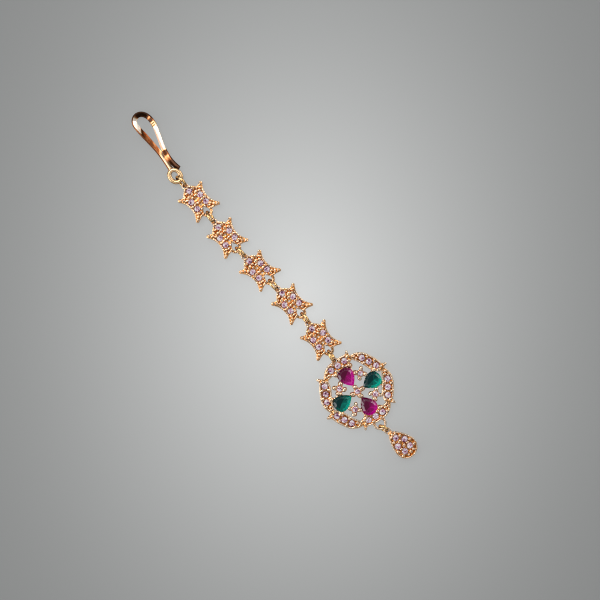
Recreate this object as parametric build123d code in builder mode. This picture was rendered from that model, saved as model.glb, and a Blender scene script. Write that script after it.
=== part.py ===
from build123d import *

import os
from math import cos, radians, sin, sqrt, tan

# Maang tikka: a forehead ornament of gold-plated brass set with stones. It lies on its back,
# stretched out. A hook for the hair is at +Y, then five star links, a round pendant and a
# small drop at -Y, joined by jump rings. +Z is up, and z = 0 is the surface below it.
# All sizes are in millimetres.

# --- heights that the star links, the pendant and the drop share -------------------------
RIM_TOP = 1.9  # top of the raised rim round each outline
FLOOR_Z = 1.45  # floor inside the rim, where the stones are set
RIM_W = 0.3  # width of the rim round the drop
OUTLINE_R = 0.12  # to which the castings' outlines are rounded, all round and outwards
BEAD_TOP = 2.15  # tops of the prongs and beads
EYE_Z = 1.45  # middle of every eye that a jump ring passes through
EYE_T = 0.5  # thickness of the flat eyes

# --- stones ------------------------------------------------------------------------------
ROUND_R = 0.84  # the small stones of the links, leaves and drop
CENTRE_R = 0.78  # the five stones inside the pendant
GIRDLE_Z = 1.6  # widest level of a small stone
GIRDLE_T = 0.05
CROWN_H = 0.25
TABLE_SHARE = 0.57  # table radius over girdle radius
PAVILION_SLOPE = 0.86  # depth over radius below the girdle
KEEL_SHARE = 0.12  # size of a pear-cut stone's bottom over its girdle
PEAR_TABLE_SHARE = 0.62
PEAR_SIDE_SHARE = 0.63  # half width of a pear, over its largest, about halfway to its point
PEAR_SIDE_SHIFT = 0.1  # how far nearer than halfway to the point that is
SEAT_GAP = 0.05  # between a stone and its seat
SEAT_HOLE_R = 0.34  # opening in the back, below each small stone

# --- jump rings --------------------------------------------------------------------------
RING_R = 1.63  # to the middle of the wire
DROP_RING_R = 1.15
WIRE_R = 0.36
EYE_HOLE_R = 0.6
EYE_R = 0.86
EYE_NECK_W = 1.3
SHORT_NECK = 0.85  # of a star link's eye, from the eye's centre
LONG_NECK = 1.2  # of the other two
RING_ROOM = 0.45  # left beside a jump ring's wire where it passes below or beside a casting

# --- star link: local +Y points to the hook ----------------------------------------------
STAR_TOP_EYE = 5.95  # centre of the eye at the corner
STAR_RING_Y = -2.9  # centre of the ring at the lower edge
STAR_RING_R = 1.5
STAR_RING_HOLE_R = 0.83
ARCH_SIDE = 0.5  # height of the opening's upright sides, above the ring's centre
STAR_LOW_EYE = -3.15  # where the jump ring passes through
ARCH_TOP = -1.05
STAR_STONES = [(0, 4.2), (1.55, 1.65), (-1.55, 1.65), (1.55, -0.72), (-1.55, -0.72)]
STAR_GAPS = [(0, 1.5), (0, -0.4)]  # small openings between the stones
STAR_GAP_R = 0.24
STAR_MID_BEADS = [(0, 5.2, 0.26), (0, 3.08, 0.3)]
STAR_SIDE_BEADS = [  # x, y, radius, and the same at -x
    (1.14, 4.15, 0.28),
    (3.42, 3.85, 0.26),
    (2.78, 3.25, 0.34),
    (2.15, 2.68, 0.32),
    (1.2, 3.0, 0.45),
    (0.55, 2.32, 0.32),
    (0.45, 0.45, 0.34),
    (1.3, 0.46, 0.31),
    (2.1, 0.46, 0.31),
    (0.56, -1.5, 0.26),
    (1.5, -1.98, 0.3),
    (2.26, -1.78, 0.34),
    (2.75, -2.45, 0.34),
    (3.36, -3.02, 0.28),
]

# --- pendant: local +Y points to the hook ------------------------------------------------
LEAF_MIDDLE = (0, 8.4)  # of the leaf at the top
LEAF_STEP = 60  # degrees from one leaf to the next, clockwise
LEAF_PLACES = [  # how far each leaf is soldered on from its even place: along, out, turned
    (-0.15, 0.15, 0),
    (-0.35, 0, -5),
    (-0.25, -0.35, -5),
    (0.1, -0.35, -6),
    (0.25, -0.15, -3),
    (0.2, 0, 1.5),
]
LEAF_STONES = [(-2.15, 8.4), (0, 8.45), (2.15, 8.4)]
LEAF_BEADS = [  # x, y, radius
    (-4.25, 7.72, 0.26),
    (-3.45, 7.7, 0.3),
    (-3.35, 8.72, 0.3),
    (-1.08, 7.5, 0.32),
    (-1.08, 9.36, 0.28),
    (1.08, 7.5, 0.32),
    (1.08, 9.34, 0.28),
    (3.2, 7.85, 0.3),
    (3.32, 8.9, 0.3),
    (3.85, 9.7, 0.26),
]
PENDANT_TOP_EYE = 10.05
LOOP_AT = (-0.35, -10.25)  # the wire loop below the bottom leaf
LOOP_R = 1.48
LOOP_WIRE_R = 0.3
PENDANT_LOW_EYE = (-0.77, -10.83)  # where the drop's jump ring passes through it

PEAR_FAR = 7.38  # round end of each pear-cut stone, from the pendant's centre
PEAR_NEAR = 1.98  # its point
PEAR_R = 2.2  # half of its width
PEAR_GIRDLE_Z = 1.7
PEAR_TABLE_Z = 2.4
PEAR_KEEL_Z = 0.75
PEARS = {  # x, y and turn about the pendant's centre
    "ruby_top": (0.15, -0.08, 0),
    "emerald_left": (-0.08, 0.1, 90),
    "ruby_bottom": (-0.12, 0.08, 180),
    "emerald_right": (-0.08, -0.12, 270),
}
PEAR_ROOM = 1.03  # the room cut for each pear in the leaves, over its own size
GALLERY_TOP = 1.5  # top of the thin frame that carries each pear from below
GALLERY_BOTTOM = 0.2
GALLERY_OUT = 0.98  # the frame's outline over the pear's
GALLERY_IN = 0.84
CLUSTER_R = 4.8  # from the pendant's centre to each of the four small stones
CLUSTER_CUP_R = 1.0
CLUSTER_BEAD_AT = 0.93  # from the small stone, along X and Y
CLUSTER_BEAD_R = 0.43
BAR_W = 0.6
BAR_NEAR = 0.47  # where the bars from each small stone end, over its own x and y
BAR_FAR = 1.44
CROSS_HALF = 3  # half length of the bars through the centre
SHOULDER_IN = 0.8  # how far in the bars from the shoulder prongs end
TIP_BEAD = (0, 1.4, 0.55)
SHOULDER_BEAD = (2.24, 6.98, 0.52)

# --- drop: local origin at its point, body towards -Y ------------------------------------
DROP_LEN = 9.1
DROP_R = 3.08
DROP_TOP = -0.4
DROP_TOP_RIM = 1.6  # the rim's width at the point, over its width at the sides
DROP_TOP_HALF = 0.42  # half of the width at its point
DROP_SHOULDER = (2.05, -2.75)
DROP_EYE = 0.45
DROP_STONES = [(0, -2.5), (1.32, -4.45), (-1.32, -4.45), (1.02, -6.65), (-1.02, -6.65)]
DROP_MID_BEADS = [(0, -1.25, 0.28), (0, -3.8, 0.32), (0, -5.4, 0.34), (0, -7.9, 0.34)]
DROP_SIDE_BEADS = [
    (0.72, -1.55, 0.24),
    (1.25, -2.9, 0.32),
    (2.3, -5.5, 0.3),
    (1.2, -5.58, 0.24),
    (2.12, -7.1, 0.32),
    (1.05, -8.0, 0.3),
]

# --- hook: local origin at the middle of its eye -----------------------------------------
STRIP_W = 1.6
STRIP_T = 0.45
STRIP_SPLAY = 45  # degrees that the strip leans out from upright
STRIP_CORNER_R = 0.15
HOOK_TILT = 2.1  # degrees that the hook drops from its eye to its bend
HOOK_START = (0.08, 1.75)
HOOK_LEAN = 6  # degrees to the right at which the strip leaves the eye
ARM_R = 98.7
ARM_TURN = 9
BEND_R = 2.08
BEND_TURN = 197
BACK_LEN = 8.2
FLARE_R = 13
FLARE_TURN = 28
HOOK_EYE_HALF = 0.35  # half of the straight part of the eye's outline
HOOK_EYE_R = 1.4
HOOK_EYE_WIRE_R = 0.6
HOOK_LOW_EYE = -0.62

# --- how the chain lies ------------------------------------------------------------------
# Each turn is in degrees, anticlockwise from above, away from a chain laid along Y.
HOOK_AT = (-1.43, 33.8)  # its eye, measured from the middle of the third star
STAR_TURNS = [2, 0, 8, 4, -2.5]
PENDANT_TURN = -2.7
DROP_TURN = 9.2
RINGS = [  # turn, lean from upright, radius
    (5.0, 18, RING_R),
    (-6.4, -14, RING_R),
    (6.0, 12, RING_R),
    (1.2, -16, RING_R),
    (-3.2, 14, RING_R),
    (-9.3, -12, RING_R),
    (19, 22, DROP_RING_R),
]


# --- parts of a setting, added to the part that is being built ---------------------------
def bead(radius, base):
    """A round-topped prong that stands at a height."""
    with BuildPart() as prong:
        with BuildSketch(Plane.XZ):
            with BuildLine():
                Polyline((0, BEAD_TOP), (0, base), (radius, base), (radius, BEAD_TOP - radius))
                RadiusArc((radius, BEAD_TOP - radius), (0, BEAD_TOP), -radius)
            make_face()
        revolve(axis=Axis.Z)
    return prong.part


def add_beads(beads, base=FLOOR_Z):
    """Prongs at x, y with their radii; those of one size are added together."""
    for size in sorted({radius for x, y, radius in beads}):
        with Locations(*[(x, y) for x, y, radius in beads if radius == size]):
            add(bead(size, base))


def both_sides(beads):
    """The same beads at +x and at -x."""
    return [(side * x, y, radius) for side in (1, -1) for x, y, radius in beads]


def cut_seats(centres, radius):
    """A cone for each stone's pavilion, with a hole through to the back below it."""
    top = radius + SEAT_GAP
    cone_h = (top - SEAT_HOLE_R) * PAVILION_SLOPE
    with BuildPart() as seat:
        with BuildSketch(Plane.XZ):
            with BuildLine():
                Polyline(
                    (0, -SEAT_GAP),
                    (SEAT_HOLE_R, -SEAT_GAP),
                    (SEAT_HOLE_R, GIRDLE_Z - cone_h),
                    (top, GIRDLE_Z),
                    (top, BEAD_TOP),
                    (0, BEAD_TOP),
                    close=True,
                )
            make_face()
        revolve(axis=Axis.Z)
    with Locations(*centres):
        add(seat.part, mode=Mode.SUBTRACT)


def add_eye(y, neck):
    """A flat eye at half height on the local Y axis, on a neck that runs back into the body."""
    with Locations((0, y, EYE_Z)):
        Cylinder(EYE_R, EYE_T)
    with Locations((0, y - neck / 2, EYE_Z)):
        Box(EYE_NECK_W, neck, EYE_T)
    with Locations((0, y, EYE_Z)):
        Cylinder(EYE_HOLE_R, RIM_TOP, mode=Mode.SUBTRACT)


def rounded_out(sketch):
    """An outline with its corners rounded outwards."""
    with BuildSketch() as rounded:
        add(sketch)
        offset(amount=OUTLINE_R, kind=Kind.ARC)
    return rounded.sketch


# --- stones ------------------------------------------------------------------------------
def round_stone(radius):
    """A round stone with a flat table, its girdle at GIRDLE_Z."""
    with BuildPart() as stone:
        with BuildSketch(Plane.XZ):
            with BuildLine():
                Polyline(
                    (0, GIRDLE_Z - radius * PAVILION_SLOPE),
                    (radius, GIRDLE_Z),
                    (radius, GIRDLE_Z + GIRDLE_T),
                    (radius * TABLE_SHARE, GIRDLE_Z + CROWN_H),
                    (0, GIRDLE_Z + CROWN_H),
                    close=True,
                )
            make_face()
        revolve(axis=Axis.Z)
    return stone.part


def pear_outline(scale_by=1.0):
    """Pear outline with its point towards the pendant's centre, scaled about its widest level."""
    widest = PEAR_FAR - PEAR_R
    half = PEAR_R * scale_by
    tip = widest - (widest - PEAR_NEAR) * scale_by
    side = (half * PEAR_SIDE_SHARE, (widest + tip) / 2 - PEAR_SIDE_SHIFT * scale_by)
    with BuildSketch() as outline:
        with BuildLine():
            ThreePointArc((0, tip), side, (half, widest))
            ThreePointArc((half, widest), (0, widest + half), (-half, widest))
            ThreePointArc((-half, widest), (-side[0], side[1]), (0, tip))
        make_face()
    return outline.sketch


def pear_section(level, scale_by):
    """The pear outline at a height, as a sketch for a loft."""
    with BuildSketch(Plane.XY.offset(level)) as section:
        add(pear_outline(scale_by))
    return section.sketch


def pear_stone():
    """A pear-cut stone: flat table, crown, girdle and a keel below."""
    with BuildPart() as stone:
        for low, high in (
            ((PEAR_KEEL_Z, KEEL_SHARE), (PEAR_GIRDLE_Z, 1.0)),
            ((PEAR_GIRDLE_Z, 1.0), (PEAR_GIRDLE_Z + GIRDLE_T, 1.0)),
            ((PEAR_GIRDLE_Z + GIRDLE_T, 1.0), (PEAR_TABLE_Z, PEAR_TABLE_SHARE)),
        ):
            loft([pear_section(*low), pear_section(*high)], ruled=True)
    return stone.part


# --- star link ---------------------------------------------------------------------------
def star_outline():
    """A square corner at the top and four horns, one side drawn and mirrored."""
    with BuildSketch() as outline:
        with BuildLine():
            Polyline((0, 5.4), (0.66, 5.4), (2.04, 4.08), (2.16, 3.66))
            ThreePointArc((2.16, 3.66), (2.95, 3.86), (3.82, 4.28))
            Line((3.82, 4.28), (4.08, 3.9))
            ThreePointArc((4.08, 3.9), (2.68, 0.35), (4.0, -3.22))
            Line((4.0, -3.22), (3.7, -3.56))
            ThreePointArc((3.7, -3.56), (2.6, -3.12), (1.2, -2.9))
            Line((1.2, -2.9), (0, -2.9))
            mirror(about=Plane.YZ)
        make_face()
    return outline.sketch


def star_floor():
    """The sunk part inside the rim."""
    with BuildSketch() as floor:
        with BuildLine():
            Polyline((0, 5.12), (0.56, 5.12), (1.74, 3.98), (1.88, 3.34))
            ThreePointArc((1.88, 3.34), (2.7, 3.5), (3.4, 3.8))
            ThreePointArc((3.4, 3.8), (2.43, 0.35), (3.4, -3.0))
            ThreePointArc((3.4, -3.0), (2.3, -2.72), (1.2, -2.5))
            Line((1.2, -2.5), (0, -2.5))
            mirror(about=Plane.YZ)
        make_face()
    return floor.sketch


def star_metal():
    """One cast link with its eye, lower ring, seats and beads."""
    with BuildPart() as star:
        with BuildSketch():
            add(rounded_out(star_outline()))
        extrude(amount=RIM_TOP)
        with BuildSketch(Plane.XY.offset(FLOOR_Z)):
            add(star_floor())
        extrude(amount=RIM_TOP, mode=Mode.SUBTRACT)
        with Locations((0, STAR_RING_Y, EYE_Z)):
            Cylinder(STAR_RING_R, EYE_T)
        add_beads(STAR_MID_BEADS + both_sides(STAR_SIDE_BEADS))
        with BuildSketch():
            with Locations((0, STAR_RING_Y)):
                Circle(STAR_RING_HOLE_R)
            with BuildLine():
                Polyline(
                    (0, ARCH_TOP),
                    (STAR_RING_HOLE_R, STAR_RING_Y + ARCH_SIDE),
                    (STAR_RING_HOLE_R, STAR_RING_Y),
                    (-STAR_RING_HOLE_R, STAR_RING_Y),
                    (-STAR_RING_HOLE_R, STAR_RING_Y + ARCH_SIDE),
                    close=True,
                )
            make_face()
            with Locations(*STAR_GAPS):
                Circle(STAR_GAP_R)
        extrude(amount=BEAD_TOP, mode=Mode.SUBTRACT)
        cut_seats(STAR_STONES, ROUND_R)
        add_eye(STAR_TOP_EYE, SHORT_NECK)
        # the jump ring passes below the ring at the lower edge
        with Locations((0, STAR_RING_Y, 0)):
            Box(
                2 * (WIRE_R + RING_ROOM),
                STAR_RING_R,
                EYE_Z - EYE_T / 2,
                align=(Align.CENTER, Align.MAX, Align.MIN),
                mode=Mode.SUBTRACT,
            )
    return star.part


# --- pendant -----------------------------------------------------------------------------
def leaf_outline():
    """The leaf at the top: a tail at the left and a pointed tip at the right."""
    with BuildSketch() as outline:
        with BuildLine():
            ThreePointArc((-5.25, 7.1), (-3.6, 9.1), (-0.8, 9.85))
            ThreePointArc((-0.8, 9.85), (1.2, 9.84), (2.9, 9.56))
            ThreePointArc((2.9, 9.56), (3.5, 9.7), (4.0, 10.2))
            Line((4.0, 10.2), (4.2, 10.15))
            ThreePointArc((4.2, 10.15), (3.95, 8.95), (3.68, 7.6))
            ThreePointArc((3.68, 7.6), (2.3, 7.12), (0, 7.0))
            ThreePointArc((0, 7.0), (-2.5, 7.12), (-4.9, 6.7))
            Line((-4.9, 6.7), (-5.25, 7.1))
        make_face()
    return outline.sketch


def leaf_floor():
    """The sunk part of the top leaf, inside its rim."""
    with BuildSketch() as floor:
        with BuildLine():
            ThreePointArc((-4.6, 7.35), (-3.35, 8.85), (-0.8, 9.62))
            ThreePointArc((-0.8, 9.62), (1.3, 9.6), (2.95, 9.3))
            Line((2.95, 9.3), (3.3, 9.4))
            ThreePointArc((3.3, 9.4), (3.42, 8.6), (3.3, 7.8))
            ThreePointArc((3.3, 7.8), (2.0, 7.3), (0, 7.2))
            ThreePointArc((0, 7.2), (-2.4, 7.34), (-4.5, 7.13))
            Line((-4.5, 7.13), (-4.6, 7.35))
        make_face()
    return floor.sketch


def turned(points, angle):
    """Points turned anticlockwise about the pendant's centre."""
    c, s = cos(radians(angle)), sin(radians(angle))
    return [(x * c - y * s, x * s + y * c, *rest) for x, y, *rest in points]


def around(points, count, first=0):
    """The same points repeated evenly round the pendant's centre."""
    return [p for k in range(count) for p in turned(points, first + 360 / count * k)]


def leaf_place(number):
    """Where a leaf lies, for a leaf drawn at the top."""
    along, out, turn = LEAF_PLACES[number]
    middle = Vector(*LEAF_MIDDLE)
    moved = Location(middle + (along, out), (0, 0, turn)) * Location(-middle)
    return Location((0, 0, 0), (0, 0, -LEAF_STEP * number)) * moved


def pear_place(name):
    """Where a pear-cut stone lies, for one drawn at the top."""
    x, y, turn = PEARS[name]
    return Location((x, y, 0), (0, 0, turn))


def on_pears(beads):
    """The same beads beside each of the pear-cut stones."""
    spots = [
        (pear_place(name) * Location((x, y, 0))).position for name in PEARS for x, y, _ in beads
    ]
    sizes = [radius for name in PEARS for x, y, radius in beads]
    return [(spot.X, spot.Y, radius) for spot, radius in zip(spots, sizes)]


CLUSTERS = around([(0, CLUSTER_R)], 4, first=45)
INNER_STONES = [(0, 0), *CLUSTERS]
PEAR_PLACES = [pear_place(name) for name in PEARS]
LEAF_LOCATIONS = [leaf_place(number) for number in range(len(LEAF_PLACES))]
SHOULDER_BEADS = on_pears(both_sides([SHOULDER_BEAD]))
CLUSTER_BEADS = [
    (x + i * CLUSTER_BEAD_AT, y + j * CLUSTER_BEAD_AT, CLUSTER_BEAD_R)
    for x, y in CLUSTERS
    for i in (1, -1)
    for j in (1, -1)
]


def leaf_metal():
    """One leaf of the ring, with its beads and seats."""
    with BuildPart() as leaf:
        with BuildSketch():
            add(rounded_out(leaf_outline()))
        extrude(amount=RIM_TOP)
        with BuildSketch(Plane.XY.offset(FLOOR_Z)):
            add(leaf_floor())
        extrude(amount=RIM_TOP, mode=Mode.SUBTRACT)
        add_beads(LEAF_BEADS)
        cut_seats(LEAF_STONES, ROUND_R)
    return leaf.part


def gallery_metal():
    """A frame below each pear, a cup below each small stone, and the bars that join them."""
    with BuildPart() as gallery:
        with BuildSketch(Plane.XY.offset(GALLERY_BOTTOM)):
            with Locations(*PEAR_PLACES):
                add(pear_outline(GALLERY_OUT))
            with Locations(*INNER_STONES):
                Circle(CLUSTER_CUP_R)
            with BuildLine():
                for x, y in CLUSTERS:
                    start = (x * BAR_NEAR, y * BAR_FAR)
                    end = (x * BAR_FAR, y * BAR_NEAR)
                    Polyline(start, (x, y), end)
                Line((-CROSS_HALF, 0), (CROSS_HALF, 0))
                Line((0, -CROSS_HALF), (0, CROSS_HALF))
                for x, y, radius in SHOULDER_BEADS:
                    Line((x, y), (x * SHOULDER_IN, y * SHOULDER_IN))
            trace(line_width=BAR_W)
            with Locations(*PEAR_PLACES):
                add(pear_outline(GALLERY_IN), mode=Mode.SUBTRACT)
        extrude(amount=GALLERY_TOP - GALLERY_BOTTOM)
        add_beads(on_pears([TIP_BEAD]) + SHOULDER_BEADS + CLUSTER_BEADS, base=GALLERY_BOTTOM)
        cut_seats(INNER_STONES, CENTRE_R)
    return gallery.part


def pendant_metal():
    """The ring of leaves with the open setting inside it, soldered into one piece."""
    with BuildPart() as pendant:
        with Locations(*LEAF_LOCATIONS):
            add(leaf_metal())
        # room for the jump ring at the top leaf's outer edge
        with Locations((0, PENDANT_TOP_EYE, 0)):
            Box(2 * EYE_HOLE_R, 2 * EYE_HOLE_R, 2 * BEAD_TOP, mode=Mode.SUBTRACT)
        add(gallery_metal())
        # room for each pear and for its frame's opening, also where a leaf reaches below it
        for bottom, size in ((0, GALLERY_IN), (GALLERY_TOP, PEAR_ROOM)):
            with BuildSketch(Plane.XY.offset(bottom)):
                with Locations(*PEAR_PLACES):
                    add(pear_outline(size))
            extrude(amount=PEAR_TABLE_Z, mode=Mode.SUBTRACT)
        add_eye(PENDANT_TOP_EYE, LONG_NECK)
        with Locations((*LOOP_AT, EYE_Z)):
            Torus(LOOP_R, LOOP_WIRE_R)
        # neighbours and the soldered eye and loop reach into some seats, which are cut again
        for place in LEAF_LOCATIONS:
            cut_seats([(place * Location((x, y, 0))).position for x, y in LEAF_STONES], ROUND_R)
    return pendant.part


# --- drop --------------------------------------------------------------------------------
def drop_outline(inset=0.0):
    """A teardrop: a circle at the far end and two full sides that close at the point."""
    middle = DROP_R - DROP_LEN
    radius = DROP_R - inset
    top = DROP_TOP - inset * DROP_TOP_RIM
    shoulder_x, shoulder_y = DROP_SHOULDER
    with BuildSketch() as outline:
        with BuildLine():
            Line((0, top), (DROP_TOP_HALF, top))
            shoulder = (shoulder_x - inset, shoulder_y)
            ThreePointArc((DROP_TOP_HALF, top), shoulder, (radius, middle))
            RadiusArc((radius, middle), (0, middle - radius), radius)
            mirror(about=Plane.YZ)
        make_face()
    return outline.sketch


def drop_metal():
    """The drop's cast setting with its eye at the point."""
    with BuildPart() as drop:
        with BuildSketch():
            add(drop_outline())
        extrude(amount=RIM_TOP)
        with BuildSketch(Plane.XY.offset(FLOOR_Z)):
            add(drop_outline(RIM_W))
        extrude(amount=RIM_TOP, mode=Mode.SUBTRACT)
        add_beads(DROP_MID_BEADS + both_sides(DROP_SIDE_BEADS))
        cut_seats(DROP_STONES, ROUND_R)
        add_eye(DROP_EYE, LONG_NECK)
    return drop.part


# --- hook --------------------------------------------------------------------------------
def hook_metal():
    """A flat strip bent to a long loop, its sides leaning out, with a thick eye at one end."""
    heading = Vector(0, 1).rotate(Axis.Z, -HOOK_LEAN)
    with BuildPart() as hook:
        with BuildLine() as path:
            arm = JernArc(HOOK_START, heading, ARM_R, ARM_TURN)
            bend = JernArc(arm @ 1, arm % 1, BEND_R, -BEND_TURN)
            back = Line(bend @ 1, bend @ 1 + (bend % 1) * BACK_LEN)
            JernArc(back @ 1, back % 1, FLARE_R, FLARE_TURN)
        outward = heading.rotate(Axis.Z, 90)
        with BuildSketch(Plane(HOOK_START, x_dir=outward, z_dir=heading)):
            RectangleRounded(STRIP_T, STRIP_W, STRIP_CORNER_R, rotation=-STRIP_SPLAY)
        sweep(path=path.line)
        with BuildLine() as eye:
            side = Line((HOOK_EYE_R, -HOOK_EYE_HALF), (HOOK_EYE_R, HOOK_EYE_HALF))
            top = JernArc(side @ 1, side % 1, HOOK_EYE_R, 180)
            other = Line(top @ 1, top @ 1 - (0, 2 * HOOK_EYE_HALF))
            JernArc(other @ 1, other % 1, HOOK_EYE_R, 180)
        with BuildSketch(Plane(side @ 0, z_dir=side % 0)):
            Circle(HOOK_EYE_WIRE_R)
        sweep(path=eye.line)
    return hook.part


# --- the chain as it lies ----------------------------------------------------------------
def down_chain(point, turn, distance):
    """The point this far down the chain from another, on a line turned from the -Y direction."""
    return point + Vector(0, -distance).rotate(Axis.Z, turn)


def ring_place(start, turn, lean, radius):
    """Where an upright jump ring stands that meets the eyes' mid height at start.

    Returns its location, and the point at which it meets the next eye."""
    centre_z = WIRE_R + radius * cos(radians(lean))
    rise = centre_z - EYE_Z
    half_span = sqrt(radius**2 - (rise / cos(radians(lean))) ** 2)
    middle = down_chain(start, turn, half_span)
    sideways = Vector(rise * tan(radians(lean)), 0).rotate(Axis.Z, turn)
    at = middle + sideways + Vector(0, 0, centre_z)
    place = Location(at, (0, 0, turn)) * Location((0, 0, 0), (0, 90 + lean, 0))
    return place, down_chain(start, turn, 2 * half_span)


def link_place(upper_eye, turn, upper_y, lower_eye):
    """Where a link lies whose upper eye is at a point, and its own lower eye."""
    centre = down_chain(upper_eye, turn, upper_y)
    return Location(centre, (0, 0, turn)), centre + Vector(*lower_eye).rotate(Axis.Z, turn)


pieces = {}  # the finished pieces by the names of their nodes


def keep(part, name):
    """Keeps a finished piece under the name of its node."""
    part.label = name
    pieces[name] = part


def keep_ring(place, radius, name):
    """A jump ring: its wire bent to a full circle and closed."""
    with BuildPart() as ring:
        with Locations(place):
            Torus(radius, WIRE_R)
    keep(ring.part, name)


def keep_stones(place, stone, centres, name):
    """The stones of one setting, loose in their seats."""
    with BuildPart() as stones:
        with Locations(place):
            with Locations(*centres):
                add(stone)
    keep(stones.part, name)


def keep_placed(place, piece, name):
    """One piece, moved to where it lies."""
    with BuildPart() as placed:
        with Locations(place):
            add(piece)
    keep(placed.part, name)


stone = round_stone(ROUND_R)
star = star_metal()

hook_place = Location((*HOOK_AT, EYE_Z), (-HOOK_TILT, 0, 0))
keep_placed(hook_place, hook_metal(), "hook")
eye = Vector(*HOOK_AT) + Vector(0, HOOK_LOW_EYE)

for number, (star_turn, ring) in enumerate(zip(STAR_TURNS, RINGS), 1):
    place, eye = ring_place(eye, *ring)
    keep_ring(place, ring[-1], f"jump_ring_{number}")
    place, eye = link_place(eye, star_turn, STAR_TOP_EYE, (0, STAR_LOW_EYE))
    keep_placed(place, star, f"star_{number}")
    keep_stones(place, stone, STAR_STONES, f"star_{number}_stones")

place, eye = ring_place(eye, *RINGS[-2])
keep_ring(place, RING_R, "jump_ring_6")
pendant_place, eye = link_place(eye, PENDANT_TURN, PENDANT_TOP_EYE, PENDANT_LOW_EYE)
keep_placed(pendant_place, pendant_metal(), "pendant_frame")
for number, leaf in enumerate(LEAF_LOCATIONS, 1):
    keep_stones(pendant_place * leaf, stone, LEAF_STONES, f"leaf_{number}_stones")
keep_stones(pendant_place, round_stone(CENTRE_R), INNER_STONES, "inner_stones")
pear = pear_stone()
for name in PEARS:
    keep_placed(pendant_place * pear_place(name), pear, name)

place, eye = ring_place(eye, *RINGS[-1])
keep_ring(place, DROP_RING_R, "jump_ring_7")
place, _ = link_place(eye, DROP_TURN, DROP_EYE, (0, 0))
keep_placed(place, drop_metal(), "drop_setting")
keep_stones(place, stone, DROP_STONES, "drop_stones")

# The origin is on the surface, below the middle of the whole piece's box.
boxes = [piece.bounding_box() for piece in pieces.values()]
low = [min(values) for values in zip(*[tuple(box.min) for box in boxes])]
high = [max(values) for values in zip(*[tuple(box.max) for box in boxes])]
to_origin = Location((-(low[0] + high[0]) / 2, -(low[1] + high[1]) / 2, -low[2]))

os.makedirs("parts", exist_ok=True)
for name, piece in pieces.items():
    piece = piece.moved(to_origin)
    piece.label = name
    export_step(piece, f"parts/{name}.step")
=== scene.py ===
from math import radians

import bmesh
import bpy
import numpy as np
from mathutils import Euler, Matrix, Vector


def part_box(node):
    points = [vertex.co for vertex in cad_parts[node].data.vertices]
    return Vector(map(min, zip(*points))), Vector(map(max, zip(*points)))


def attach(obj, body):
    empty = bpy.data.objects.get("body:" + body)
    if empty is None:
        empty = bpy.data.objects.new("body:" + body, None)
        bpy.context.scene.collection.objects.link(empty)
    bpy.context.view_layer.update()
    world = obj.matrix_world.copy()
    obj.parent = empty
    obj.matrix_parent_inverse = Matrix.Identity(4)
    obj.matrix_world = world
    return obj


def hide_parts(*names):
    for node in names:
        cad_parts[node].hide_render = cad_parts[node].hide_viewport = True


# Maang tikka: gold-plated brass set with stones, lying stretched out on its back. Lengths
# are in metres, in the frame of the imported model: +Y to the hook, +Z up, floor at z = 0.
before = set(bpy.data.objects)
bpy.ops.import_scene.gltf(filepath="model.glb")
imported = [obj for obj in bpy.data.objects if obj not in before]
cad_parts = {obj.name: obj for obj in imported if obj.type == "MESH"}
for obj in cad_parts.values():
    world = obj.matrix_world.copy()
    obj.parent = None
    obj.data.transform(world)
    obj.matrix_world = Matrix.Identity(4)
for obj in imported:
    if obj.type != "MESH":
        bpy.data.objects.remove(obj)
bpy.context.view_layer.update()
MM = 0.001

# === Hook ================================================================================
# The hair hook is a strip of polished brass sheet bent to a long loop. Its sides lean out,
# and its free end turns out again so that it slides over hair. The other end is soldered to
# a thick round eye. The whole hook is plated in yellow gold.
HOOK_THICKNESS = 0.42 * MM
HOOK_SPLAY = 50  # degrees that the width of the strip leans out from upright
HOOK_START = np.array([0.15, 1.5, 0]) * MM  # of the strip, from the middle of the eye
HOOK_END_HEIGHT = 0.82 * MM  # of the strip's middle at the bend
# how far along the strip, in millimetres, and which way it heads there, in degrees
HOOK_COURSE = (
    (0, 80), (1.7, 83), (7.7, 92), (13.7, 94), (15.5, 86), (17.1, 42), (18.5, -6),
    (19.8, -46), (21.4, -76), (23.3, -97), (26.5, -110), (30.2, -109), (32.4, -101), (37.9, -76),
)  # fmt: skip
# how far along the strip, and how wide it is there, in millimetres: it is narrow near the eye
HOOK_WIDTHS = ((0, 1.6), (7, 1.5), (12, 1.8), (17, 1.6), (26, 1.65), (38, 1.55))
HOOK_STEPS = 420  # along the strip
HOOK_SOFTNESS = 15  # how many steps to either side its bends are softened over
HOOK_ENDS = 0.12  # millimetres over which both ends are rounded
EYE_RADII = (1.4 * MM, 1.75 * MM)
EYE_HEIGHT = 1.45 * MM
EYE_WIRE = 0.6 * MM  # its radius
EYE_FLAT = 0.12  # the share of the wire's radius that is worn off its top and its back
EYE_STEEP = 0.85  # the upright share of a face's direction under which painted shade darkens it
WIRE_BLUR = 4  # rounds of blurring that bring out how a wire bulges, for its painted highlights and shade
WIRE_DEPTH = 0.1 * MM


def sheet_mesh(name, points, close_rows=False):
    """A mesh from a grid of points, rows by columns: each square of four neighbours is one
    face, and the last column joins the first. close_rows joins the last row to the first."""
    rows, cols = points.shape[:2]
    index = np.arange(rows * cols).reshape(rows, cols)
    right = np.roll(index, -1, axis=1)
    down = np.roll(index, -1, axis=0)
    down_right = np.roll(right, -1, axis=0)
    quads = np.stack([index, right, down_right, down], axis=-1)
    if not close_rows:
        quads = quads[:-1]
    mesh = bpy.data.meshes.new(name)
    mesh.from_pydata(points.reshape(-1, 3).tolist(), [], quads.reshape(-1, 4).tolist())
    return mesh


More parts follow.
